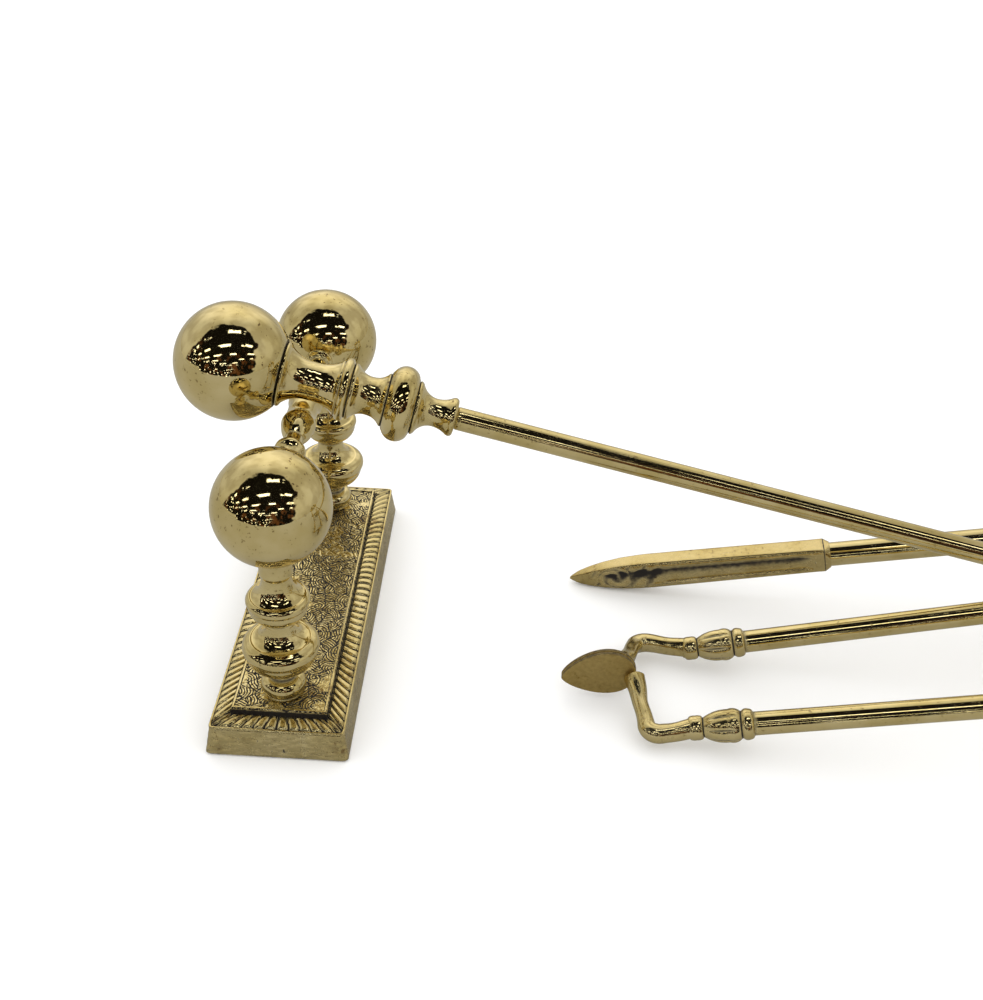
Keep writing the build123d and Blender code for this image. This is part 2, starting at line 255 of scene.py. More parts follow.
def node(tree, kind, inputs=None, **settings):
    made = tree.nodes.new(kind)
    for key, value in settings.items():
        setattr(made, key, value)
    for key, value in (inputs or {}).items():
        feed(tree, made.inputs[key], value)
    return made


def blended(tree, factor, first, second, kind="MIX"):
    mix = node(tree, "ShaderNodeMix", {0: factor}, data_type="RGBA", blend_type=kind)
    feed(tree, mix.inputs[6], first)
    feed(tree, mix.inputs[7], second)
    return mix.outputs[2]


def ramp(tree, factor, low, high):
    # 0 at low, 1 at high, with soft ends.
    return node(tree, "ShaderNodeMapRange", {"Value": factor, "From Min": low, "From Max": high},
                interpolation_type="SMOOTHSTEP", clamp=True).outputs[0]


def maths(tree, operation, a, b=0.0, clamp=False):
    return node(tree, "ShaderNodeMath", {0: a, 1: b}, operation=operation, use_clamp=clamp).outputs[0]


def times(tree, first, *others, clamp=False):
    for other in others:
        first = maths(tree, "MULTIPLY", first, other, clamp)
    return first


def plus(tree, first, *others, clamp=False):
    for other in others:
        first = maths(tree, "ADD", first, other, clamp)
    return first


def less(tree, first, other, clamp=False):
    return maths(tree, "SUBTRACT", first, other, clamp)


def noise(tree, where, scale, detail=2.0, roughness=0.5, output="Fac"):
    return node(tree, "ShaderNodeTexNoise", {"Vector": where, "Scale": scale, "Detail": detail,
                                             "Roughness": roughness}).outputs[output]


def ways(tree, operation, a, b=(0, 0, 0), scale=1.0, output="Vector"):
    return node(tree, "ShaderNodeVectorMath", {0: a, 1: b, 3: scale}, operation=operation).outputs[output]


brassFinish = {
    "bright": (0.84, 0.71, 0.38, 1), "deep": (0.70, 0.57, 0.25, 1), "tarnish": (0.16, 0.085, 0.03, 1),
    "wax": (0.010, 0.007, 0.005, 1), "brown": (0.20, 0.11, 0.045, 1), "wornWall": (0.52, 0.43, 0.21, 1),
    "oliveLight": (0.48, 0.34, 0.11, 1), "oliveDark": (0.38, 0.26, 0.075, 1), "bumpDepth": 0.00006,
}

# Chased panel: levels of the strokes in metres, strokes and cells per metre.
panelHatch = {"from": 0.0186, "to": 0.01956, "strokes": 5000.0, "cells": 185.0, "bend": 0.0016,
              "hub": 0.014, "cut": 11.0}


def chasing(tree, place, hatch):
    # Foliage strokes: each cell of the pattern holds strokes bent round a point beside it,
    # sin(strokes * distance). Returns the strokes and the part of the panel that carries them.
    warped = noise(tree, place, 260.0, 1.0, output="Color")
    spot = ways(tree, "ADD", place, ways(tree, "SCALE", warped, scale=hatch["bend"]))
    cellInputs = {"Vector": spot, "Scale": hatch["cells"]}
    cells = node(tree, "ShaderNodeTexVoronoi", cellInputs, voronoi_dimensions="2D")
    edges = node(tree, "ShaderNodeTexVoronoi", cellInputs, voronoi_dimensions="2D",
                 feature="DISTANCE_TO_EDGE").outputs["Distance"]
    chance = ways(tree, "SUBTRACT", cells.outputs["Color"], (0.5, 0.5, 0.5))
    hub = ways(tree, "ADD", cells.outputs["Position"], ways(tree, "SCALE", chance, scale=hatch["hub"]))
    flatSpot, flatHub = (ways(tree, "MULTIPLY", item, (1, 1, 0)) for item in (spot, hub))
    away = ways(tree, "DISTANCE", flatSpot, flatHub, output="Value")
    stroke = ramp(tree, maths(tree, "SINE", times(tree, away, hatch["strokes"])), -0.85, 0.15)
    stroke = times(tree, stroke, ramp(tree, edges, 0.0, 0.07))
    level = node(tree, "ShaderNodeSeparateXYZ", {0: place}).outputs["Z"]
    onPanel = ramp(tree, level, hatch["from"], hatch["from"] + 0.0002)
    offFillet = ramp(tree, level, hatch["to"] + 0.00004, hatch["to"])
    plainSpot = ramp(tree, noise(tree, place, 75.0), 0.63, 0.56)
    return stroke, times(tree, onPanel, offFillet, plainSpot)


def brass(name, roughness, tarnish, marks, grain, waxLow=0.12, waxHigh=0.8, rough=0.0, hatch=None,
          dull=0.0, wall=0.0):
    # Polished brass: slow colour drift, small tarnish specks, rubbed scratches and dark wax that
    # fills the places where the patina and shade value is high; where that value holds painted
    # shade, the same near-black colour paints shade. Rough adds a cast skin with worn scuffs,
    # dull takes the whole surface towards olive, wall roughens and wears the part below that
    # height in metres, and hatch cuts foliage strokes into the panel.
    finish = brassFinish
    material, tree, shader = nodeTree(name)
    place = node(tree, "ShaderNodeTexCoord").outputs["Object"]
    wax = node(tree, "ShaderNodeAttribute", attribute_name="patinaAndShade").outputs["Fac"]
    drift = noise(tree, place, 60.0, 4.0)
    specks = noise(tree, place, 480.0, 6.0, 0.62)
    fine = noise(tree, place, 2600.0, 3.0)
    stretched = node(tree, "ShaderNodeMapping", {"Vector": place, "Scale": marks}).outputs[0]
    scratch = noise(tree, stretched, 900.0, 5.0, 0.7)
    speckMask = times(tree, ramp(tree, specks, 0.60, 0.68), ramp(tree, drift, 0.42, 0.6))
    colour = blended(tree, ramp(tree, drift, 0.3, 0.72), finish["bright"], finish["deep"])
    colour = blended(tree, times(tree, speckMask, tarnish, clamp=True), colour, finish["tarnish"])
    height = plus(tree, times(tree, scratch, 0.5), times(tree, fine, 0.3), times(tree, speckMask, -0.8))
    if dull:
        olive = blended(tree, ramp(tree, specks, 0.35, 0.65), finish["oliveLight"], finish["oliveDark"])
        colour = blended(tree, dull, colour, olive)
    if rough:
        skin = noise(tree, place, 330.0, 5.0, 0.55)
        flow = node(tree, "ShaderNodeMapping", {"Vector": place, "Scale": (0.45, 0.45, 1.6)}).outputs[0]
        scuff = noise(tree, flow, 420.0, 4.0)
        height = plus(tree, height, times(tree, plus(tree, skin, scuff), 4.0 * rough))
        brown = times(tree, ramp(tree, drift, 0.55, 0.68), ramp(tree, skin, 0.42, 0.62))
        colour = blended(tree, times(tree, brown, 0.75 * rough, clamp=True), colour, finish["brown"])
        wax = plus(tree, wax, times(tree, ramp(tree, skin, 0.42, 0.30), 0.35 * rough))
    if wall:
        level = node(tree, "ShaderNodeSeparateXYZ", {0: place}).outputs["Z"]
        low = ramp(tree, level, wall, wall - 0.0008)
        worn = times(tree, low, ramp(tree, scuff, 0.62, 0.46), 0.60)
        colour = blended(tree, worn, colour, finish["wornWall"])
        height = plus(tree, height, times(tree, plus(tree, skin, scuff), times(tree, low, 16.0)))
    if hatch:
        stroke, cut = chasing(tree, place, hatch)
        height = plus(tree, height, times(tree, stroke, cut, hatch["cut"]))
        kept = times(tree, wax, less(tree, 1.0, times(tree, cut, 0.45)))
        wax = plus(tree, kept, times(tree, less(tree, 1.0, stroke), times(tree, cut, 1.25)))
    # The near-black wax colour is wax in hollows and joints, and painted shade where the attribute holds
    # painted shade: the plate's step face, the poker's upper hollows and the pads' edges.
    waxAndShadeEdge = plus(tree, wax, times(tree, less(tree, specks, 0.5), 0.45))
    waxAndShadeMask = ramp(tree, waxAndShadeEdge, waxLow, waxHigh)
    feed(tree, shader.inputs["Base Color"], blended(tree, waxAndShadeMask, colour, finish["wax"]))
    gloss = plus(tree, roughness, times(tree, ramp(tree, scratch, 0.45, 0.75), grain),
                 times(tree, speckMask, 0.22), times(tree, waxAndShadeMask, 0.38), clamp=True)
    feed(tree, shader.inputs["Roughness"], gloss)
    feed(tree, shader.inputs["Metallic"], less(tree, 1.0, times(tree, waxAndShadeMask, 0.75), clamp=True))
    bump = node(tree, "ShaderNodeBump", {"Height": height, "Strength": 0.5 if rough else 0.12,
                                         "Distance": finish["bumpDepth"]})
    feed(tree, shader.inputs["Normal"], bump.outputs[0])
    return material


polishedBrass = brass("polishedBrass", 0.035, 0.9, (1.0, 1.0, 0.25), 0.05)
drawnBrass = brass("drawnBrass", 0.06, 0.6, (0.06, 1.0, 1.0), 0.09)
castBrass = brass("castBrass", 0.11, 0.9, (1.0, 1.0, 1.0), 0.14, rough=0.35)
plateBrass = brass("plateBrass", 0.15, 0.8, (1.0, 1.0, 1.0), 0.14, 0.18, 0.62, rough=1.0,
                   hatch=panelHatch, wall=0.0146)
spearBrass = brass("spearBrass", 0.16, 1.0, (0.2, 1.0, 1.0), 0.16, rough=0.3, dull=0.35)
wornBrass = brass("wornBrass", 0.46, 0.9, (0.3, 1.0, 1.0), 0.16, rough=0.25, dull=0.85)
sheetBrass = brass("sheetBrass", 0.10, 0.6, (0.12, 1.0, 1.0), 0.14)


def steel():
    # Dull steel for the fixings inside: grey with turning marks and a little brown.
    material, tree, shader = nodeTree("fixingSteel")
    place = node(tree, "ShaderNodeTexCoord").outputs["Object"]
    grain = noise(tree, place, 600.0, 6.0)
    colour = blended(tree, ramp(tree, grain, 0.35, 0.7), (0.42, 0.42, 0.43, 1), (0.24, 0.20, 0.16, 1))
    feed(tree, shader.inputs["Base Color"], colour)
    feed(tree, shader.inputs["Roughness"], plus(tree, 0.3, times(tree, grain, 0.25)))
    bump = node(tree, "ShaderNodeBump", {"Height": grain, "Strength": 0.3, "Distance": 0.0001})
    feed(tree, shader.inputs["Normal"], bump.outputs[0])
    shader.inputs["Metallic"].default_value = 1.0
    return material


fixingSteel = steel()
for name, obj in frame["nodes"].items():
    if name.endswith(("_studs", "_tie_rods", "_washers", "_nuts", "_handle_stud")):
        obj.data.materials.clear()
        obj.data.materials.append(fixingSteel)
print("materials made")


plateShape = {
    "halfWidth": 30.2, "halfLength": 98.5, "flare": 2.3, "rimHeight": 15.2, "corner": 2.0,
    "border": 8.8, "panelHeight": 19.6, "ground": 0.55, "fillet": 1.3,
    "shortLobes": 14, "longLobes": 44, "fan": 1.45, "lobeRise": 1.25,
    "hollowHeight": 15.6, "panelStep": 0.46, "scrollSpacing": 7.0, "scrollPitch": 2.6, "scrollRise": 0.26,
}


def scrollRelief(x, y, seed):
    # Chased foliage: each point belongs to its nearest scroll centre, whose ridges wind out as a
    # spiral, cos(2 pi (distance / pitch) + turns * angle). A valley runs where two scrolls meet.
    p = plateShape
    random = np.random.default_rng(seed)
    gap = p["scrollSpacing"]
    gx, gy = np.meshgrid(np.arange(-32, 33, gap), np.arange(-100, 101, gap * 0.87), indexing="ij")
    gx = gx + (np.arange(gx.shape[1]) % 2)[None, :] * gap / 2
    centres = np.stack([gx.ravel(), gy.ravel()], axis=-1) + random.uniform(-1.9, 1.9, (gx.size, 2))
    count = len(centres)
    spin = random.choice([-1.0, 1.0], count) * random.choice([1.0, 2.0, 3.0], count)
    lead = random.uniform(0, 2 * np.pi, count)
    squeeze = random.uniform(0.75, 1.35, count)
    lean = random.uniform(0, np.pi, count)
    x, y = (x + 0.9 * np.sin(y * 0.9 + 1.3 * np.sin(x * 0.7)),
            y + 0.9 * np.sin(x * 1.1 + 1.1 * np.sin(y * 0.6)))
    best, second, owner = np.full(x.shape, 1e9), np.full(x.shape, 1e9), np.zeros(x.shape, int)
    for k, (cx, cy) in enumerate(centres):
        away = np.hypot(x - cx, y - cy)
        nearer = away < best
        second = np.where(nearer, best, np.minimum(second, away))
        owner = np.where(nearer, k, owner)
        best = np.where(nearer, away, best)
    dx, dy = x - centres[owner, 0], y - centres[owner, 1]
    c, s = np.cos(lean[owner]), np.sin(lean[owner])
    along, across = (dx * c + dy * s) * squeeze[owner], (-dx * s + dy * c) / squeeze[owner]
    turn = np.arctan2(across, along)
    out = np.hypot(along, across) / p["scrollPitch"]
    wave = np.cos(2 * np.pi * out + spin[owner] * turn + lead[owner])
    leaf = np.cos(turn * 3 + lead[owner]) * np.clip(best / gap * 2, 0, 1)
    valley = np.clip((second - best) / 1.1, 0, 1)
    return (0.5 + 0.5 * wave) * (0.45 + 0.55 * valley) + 0.25 * leaf * valley, valley


def borderLobes(across, along, half, lobes):
    # Tongues on the sloping border: the phase runs along the side, and leans outwards towards
    # both corners. The height is a rounded tongue, dark in the slot between two of them.
    p = plateShape
    pitch = 2 * half / lobes
    lean = p["fan"] * np.sign(along) * (np.abs(along) / half) ** (1.0 if half < 50 else 1.6)
    bow = 0.7 * np.sin(np.clip(across / 8, 0, 1) * np.pi) * np.clip(along / 8, -1, 1)
    shifted = along + lean * (across - 4.6) * 0.95 - bow
    phase = np.abs(((shifted / pitch) % 1.0) - 0.5) * 2
    tongue = np.sqrt(np.clip(1 - (phase * 1.12) ** 4.0, 0, 1))
    ends = np.clip(np.minimum(across - 1.0, 8.7 - across) / 0.8, 0, 1)
    return tongue * np.sqrt(ends)


def basePlate(seed):
    # One closed skin: a grid for the panel, then rectangular loops that run out over the raised
    # fillet, the sloping border and the rim, down the rough wall and back under the hollow.
    p = plateShape
    inX = p["halfWidth"] - p["border"] - p["fillet"]
    inY = p["halfLength"] - p["border"] - p["fillet"]
    nx, ny = int(2 * inX / p["panelStep"]), int(2 * inY / p["panelStep"])
    gx, gy = np.meshgrid(np.linspace(-1, 1, nx + 1), np.linspace(-1, 1, ny + 1), indexing="ij")
    x, y = gx * inX, gy * inY
    relief, valley = scrollRelief(x, y, seed)
    edge = np.minimum(inX - np.abs(x), inY - np.abs(y))
    fade = np.clip(edge / 0.8, 0, 1)
    ground = p["panelHeight"] - p["ground"]
    z = ground + (relief - 0.35) * p["scrollRise"] * fade
    dark = 0.34 * np.clip(1.0 - 1.5 * relief, 0, 1) * np.clip(edge / 0.5, 0, 1)
    dark = np.maximum(dark, 0.8 * np.clip(1 - edge / 0.45, 0, 1))
    panel = np.stack([x, y, z], axis=-1)
    index = np.arange((nx + 1) * (ny + 1)).reshape(nx + 1, ny + 1)
    cells = np.stack([index[:-1, :-1], index[1:, :-1], index[1:, 1:], index[:-1, 1:]], axis=-1)
    quads = [cells.reshape(-1, 4)]
    points, values = [panel.reshape(-1, 3)], [dark.ravel()]
    walk = np.concatenate([index[:-1, 0], index[-1, :-1], index[:0:-1, -1], index[0, :0:-1]])
    px, py = gx.ravel()[walk], gy.ravel()[walk]
    count = len(walk)
    random = np.random.default_rng(seed + 5)

    def loop(inset, height, corner=0.0):
        a, b = p["halfWidth"] - inset, p["halfLength"] - inset
        lx, ly = px * a, py * b
        if corner > 0:
            qx, qy = np.abs(lx) - (a - corner), np.abs(ly) - (b - corner)
            at = (qx > 0) & (qy > 0)
            size = np.where(at, np.hypot(qx, qy) / corner, 1.0)
            lx = np.where(at, np.sign(lx) * (a - corner + qx / size), lx)
            ly = np.where(at, np.sign(ly) * (b - corner + qy / size), ly)
        return np.stack([lx, ly, np.broadcast_to(height, lx.shape)], axis=-1)

    loops = []
    onShort = np.abs(py) >= np.abs(px)
    filletTop = p["panelHeight"]
    # Rows across the fillet and the rim: inset, drop below the top, patina.
    filletRows = [(1.25, -0.05, 0.5), (1.05, 0.0, 0.0), (0.45, 0.0, 0.0), (0.15, -0.12, 0.0),
                  (0.0, -0.5, 0.05)]
    for inset, drop, dim in filletRows:
        loops.append((loop(p["border"] + inset, filletTop + drop), np.full(count, dim)))
    bandLow = p["rimHeight"] - 0.35
    # Painted shade: the step face below the fillet is painted almost black, standing in for the shadow under
    # the panel's raised edge.
    for height, dim in ((18.6, 0.3), (18.1, 0.75), (17.2, 0.95), (16.3, 0.95)):
        inset = p["border"] - 0.02 * (filletTop - height)
        loops.append((loop(inset, height), np.full(count, dim)))
    for inset in np.linspace(8.6, 1.2, 22):
        flat = loop(inset, 0.0)
        shortTongue = borderLobes(inset, flat[:, 0], p["halfWidth"], p["shortLobes"])
        longTongue = borderLobes(inset, flat[:, 1], p["halfLength"], p["longLobes"])
        tongue = np.where(onShort, shortTongue, longTongue)
        gapX, gapY = p["halfWidth"] - np.abs(flat[:, 0]), p["halfLength"] - np.abs(flat[:, 1])
        toMitre = np.abs(gapX - gapY)
        leafHalf = 1.9 * np.sin(np.clip((inset - 0.8) / 7.8, 0, 1) * np.pi) + 0.3
        leaf = np.clip(1 - toMitre / leafHalf, 0, 1)
        slot = np.clip((toMitre - 1.9) / 0.6, 0, 1)
        shape = np.maximum(tongue * slot, np.sqrt(leaf) * 0.95)
        climb = (inset - 1.2) / 7.1
        height = bandLow + climb - 0.25 + shape * p["lobeRise"] * (0.75 + 0.25 * np.sin(np.pi * climb))
        vein = np.clip(1 - toMitre / 0.25, 0, 1) * (leaf > 0.2) * 0.5
        dim = np.clip(1.3 - 2.2 * shape, 0, 1) + vein
        loops.append((np.stack([flat[:, 0], flat[:, 1], height], axis=-1), np.clip(dim, 0, 1)))
    rimRows = [(1.0, -0.35, 0.8), (0.85, 0.0, 0.1), (0.35, 0.0, 0.0), (0.10, -0.10, 0.0),
               (0.0, -0.35, 0.0)]
    for inset, drop, dim in rimRows:
        loops.append((loop(inset, p["rimHeight"] + drop, p["corner"]), np.full(count, dim)))
    wave = np.zeros(count)
    position = np.arange(count) / count * 2 * np.pi
    for k in range(9):
        wave += np.sin(position * random.integers(12, 160) + random.uniform(0, 6)) / 9
    for height in np.linspace(14.0, 2.4, 14):
        flare = p["flare"] * (1 - height / p["rimHeight"])
        rough = 0.07 * wave * np.sin(height * 2.1) + 0.05 * np.sin(position * 61 + height * 1.7)
        ring = loop(-flare + 0.18, height, p["corner"] + 1.2)
        ring[:, :2] *= 1 + rough[:, None] / np.array([p["halfWidth"], p["halfLength"]])
        loops.append((ring, np.clip(0.10 + 0.3 * wave, 0, 0.35)))
    under = p["flare"] * (1 - 0.6 / p["rimHeight"])
    footRows = [(-under + 0.35, 1.2), (-under + 0.8, 0.45), (-under + 1.5, 0.05), (-under + 2.2, 0.0)]
    hollowRows = [(3.6, 0.0), (4.0, 0.4), (4.0, 11.2), (12.8, 11.25), (12.8, p["hollowHeight"])]
    for inset, height in footRows + hollowRows:
        loops.append((loop(inset, height, 2.0), np.full(count, 0.35)))
    start = len(points[0])
    previous = walk
    for ring, dim in loops:
        points.append(ring)
        values.append(dim)
        here = start + np.arange(count)
        quads.append(np.stack([previous, here, np.roll(here, -1), np.roll(previous, -1)], axis=-1))
        previous = here
        start += count
    points.append(np.array([[0.0, 0.0, p["hollowHeight"]]]))
    values.append(np.array([0.35]))
    fans = np.stack([previous, np.full(count, start), np.roll(previous, -1)], axis=-1)
    return {"points": np.vstack(points), "quads": np.vstack(quads), "fans": fans,
            "patinaAndShade": np.concatenate(values)}


columnShape = {
    "profile": [
        (7.2, 19.0, 0), (8.9, 19.4, 0), (9.2, 20.2, 0.2), (8.8, 20.8, 0.1), (6.4, 28.8, 2.6),
        (5.9, 29.6, 0), (6.0, 31.6, 0), (9.0, 34.6, -0.9), (9.6, 34.9, 0), (16.0, 42.6, 1.5),
        (16.3, 43.4, 0), (14.6, 49.8, 1.6), (13.6, 50.3, 0), (13.4, 50.5, 0), (12.9, 50.3, 0),
        (6.7, 59.2, -2.1), (6.6, 60.4, 0), (7.4, 61.2, 0.1), (8.2, 62.2, -0.2), (13.2, 69.4, 1.4),
        (13.4, 70.0, 0), (12.7, 73.8, 0.9), (12.2, 74.2, 0), (11.7, 74.0, 0), (7.4, 86.6, -2.5),
        (8.2, 94.2, -0.4), (8.7, 94.9, 0.1), (8.2, 95.6, 0.1),
    ],
}

dogBall = {"radius": 25.2, "seat": 23.6}

barShape = {
    "half": [
        (6.5, -51.4, 0), (6.9, -50.8, 0.1), (6.4, -49.5, 0.3), (5.8, -49.2, 0), (4.4, -46.2, -0.5),
        (4.3, -40.0, 0), (5.9, -34.2, -0.4), (6.4, -33.6, 0), (6.4, -30.2, 0.6), (5.6, -29.6, 0),
        (3.9, -25.6, -0.4), (3.9, -21.4, 0), (7.4, -12.2, 0.6), (7.5, -7.6, 0.4), (6.8, -3.0, -0.15),
    ],
}


def mirroredProfile(half):
    back = [(half[i][0], -half[i][1], half[i + 1][2]) for i in range(len(half) - 2, -1, -1)]
    return half + [(half[-1][0], -half[-1][1], 0)] + back


def ball(radius, seat, around=144, wax=0.9, flat=1.0):
    # The seat faces +Z. The half circle from the far pole to the seat is turned about Z, flat
    # shortens it along Z, and wax gathers next to the seat.
    start = np.arccos(seat / flat / radius)
    angle = np.linspace(np.pi, start, 190)
    line = np.stack([radius * np.sin(angle), radius * flat * np.cos(angle)], axis=-1)
    line[0, 0] = 0.02
    angle = np.arange(around) * 2 * np.pi / around
    rings = np.stack([np.outer(line[:, 0], np.cos(angle)), np.outer(line[:, 0], np.sin(angle)),
                      np.repeat(line[:, 1:], around, axis=1)], axis=-1)
    rub = np.exp(-(seat - line[:, 1]) / 0.35) * wax
    return ringSurface(rings, rub[:, None])


def middleOf(node):
    low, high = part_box(node)
    return np.array((low + high) / 2) / mm


def fireDog(side, seed):
    plateMiddle = middleOf(side + "_base_plate")
    plate = placed(basePlate(seed), moved(plateMiddle[0], plateMiddle[1]))
    piece(side + "_plate", plate, plateBrass, "fire_dogs", [side + "_base_plate"])
    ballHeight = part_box(side + "_front_ball")[1].z / mm - dogBall["radius"]
    for end in ("front", "rear"):
        name = side + "_" + end
        x, y = middleOf(name + "_column")[:2]
        pillar = placed(turned(columnShape["profile"]), moved(x, y))
        piece(name + "_pillar", pillar, polishedBrass, "fire_dogs", [name + "_column"])
        down = aimed((x, y, ballHeight), (0, 0, -1), (1, 0, 0))
        globe = placed(ball(dogBall["radius"], dogBall["seat"]), down)
        piece(name + "_globe", globe, polishedBrass, "fire_dogs", [name + "_ball"])
    bar = turned(mirroredProfile(barShape["half"]), around=96)
    along = aimed((plateMiddle[0], plateMiddle[1], ballHeight), (0, 1, 0), (1, 0, 0))
    piece(side + "_rail", placed(bar, along), polishedBrass, "fire_dogs",
          [side + "_crossbar"])


fireDog("left", 11)
fireDog("right", 23)
print("fire dogs made")


# Where the tools lie, in millimetres from the left dog's middle on the floor. The shovel's fall
# and drift are per millimetre of its run to the right.
layShape = {
    "shovelRest": (0.0, 1.8, 137.2), "shovelDrift": -0.0121, "shovelFall": 0.225,
    "pokerRest": (700.0, 4.1, 137.2), "pokerTip": (131.5, 40.9, 3.0),
    "tongsRest": (700.0, -68.0, 137.2), "tongsRing": (210.3, -49.2, 16.0),
}

# Each tool has a frame of its own: heights run from its rest point to its working end.
setPlace = middleOf("left_base_plate") * np.array([1, 1, 0])
shovelWay = (1.0, layShape["shovelDrift"], -layShape["shovelFall"])
pokerWay = np.subtract(layShape["pokerTip"], layShape["pokerRest"])
tongsWay = np.subtract(layShape["tongsRing"], layShape["tongsRest"])
toolFrames = {
    "shovel": aimed(setPlace + layShape["shovelRest"], shovelWay, (0, 1, 0)),
    "poker": aimed(setPlace + layShape["pokerRest"], pokerWay, (0, -1, 0)),
    "tongs": aimed(setPlace + layShape["tongsRest"], tongsWay, (0, -1, 0)),
}

handleShape = {
    "ballRadius": 27.0, "ballCentre": -30.9, "seat": 21.7, "ballFlat": 0.985,
    "rodRadius": 5.35, "pokerRodRadius": 6.1,
    "vase": [(13.4, -9.2, 0), (14.6, -8.7, 0.1), (15.1, -8.0, 0.1), (14.4, -7.0, 0.1), (13.2, -6.4, 0),
             (8.9, 5.0, -1.4), (12.0, 16.4, -1.1), (13.0, 17.4, 0), (12.6, 17.9, 0), (13.8, 18.5, 0),
             (14.6, 21.0, 0.35), (13.9, 22.0, 0.1), (12.2, 22.6, 0)],
    "spool": [(12.2, 22.6, 0), (13.0, 23.2, 0), (12.4, 24.6, 0.15), (8.9, 32.6, -1.2), (12.4, 38.9, -0.9),
              (12.2, 39.8, 0)],
    "knop": [(12.6, 39.8, 0), (14.0, 40.6, 0.1), (14.4, 52.1, 3.3), (12.6, 52.8, 0)],
    "end_collar": [(11.4, 52.8, 0), (12.5, 53.4, 0.1), (11.4, 55.0, 0.2), (6.5, 61.6, -1.1),
                   (8.4, 69.0, -0.6), (8.9, 70.2, 0.1), (8.7, 71.6, 0.2), (7.6, 72.3, 0.15), (5.4, 72.4, 0)],
}


def handle(tool, shaftRadius, shaftEnd):
    h = handleShape
    place = toolFrames[tool]
    knob = ball(h["ballRadius"], h["seat"], 160, flat=h["ballFlat"])
    piece(tool + "_knob", placed(knob, place @ moved(z=h["ballCentre"])), polishedBrass, tool,
          [tool + "_ball"])
    for name in ("vase", "spool", "knop", "end_collar"):
        last = 0.0 if name == "end_collar" else 0.95
        piece(tool + "_turned_" + name, placed(turned(h[name], wax=(0.95, last)), place), polishedBrass,
              tool, [tool + "_" + name])
    shaft = [(shaftRadius - 0.6, 72.0, 0), (shaftRadius, 72.4, 0), (shaftRadius, shaftEnd, 0)]
    rod = turned(shaft, step=1.6, around=56, edge=0.0001, groove=900.0, wax=(0.8, 0.5))
    piece(tool + "_rod", placed(rod, place), drawnBrass, tool, [tool + "_shaft"])


panShape = {
    "rear": 470.0, "length": 120.0, "rearWidth": 72.0, "frontWidth": 98.0, "depth": 44.0, "lip": 7.0,
    "sheet": 1.6, "tilt": 0.225, "corner": 7.0, "bend": 1.6, "roll": 1.3, "rollTurn": 3.7,
}


def closedSheet(skin, thickness, patinaAndShade):
    # A sheet of even thickness: the skin, the same skin moved along its normals, and edge strips.
    across, along = np.gradient(skin, axis=1), np.gradient(skin, axis=0)
    normal = np.cross(along, across)
    normal /= np.maximum(np.linalg.norm(normal, axis=-1), 1e-9)[..., None]
    inner = skin + normal * thickness
    rows, cols = skin.shape[:2]
    index = np.arange(rows * cols).reshape(rows, cols)
    under = np.stack([index[:-1, :-1], index[:-1, 1:], index[1:, 1:], index[1:, :-1]], axis=-1)
    under = under.reshape(-1, 4)
    walk = np.concatenate([index[:-1, 0], index[-1, :-1], index[:0:-1, -1], index[0, :0:-1]])
    after = np.roll(walk, -1)
    size = rows * cols
    strip = np.stack([walk, after, after + size, walk + size], axis=-1)
    quads = np.vstack([under, under[:, ::-1] + size, strip])
    return {"points": np.vstack([skin.reshape(-1, 3), inner.reshape(-1, 3)]), "quads": quads,
            "fans": np.zeros((0, 3), int), "patinaAndShade": np.concatenate([patinaAndShade.ravel(), patinaAndShade.ravel()])}


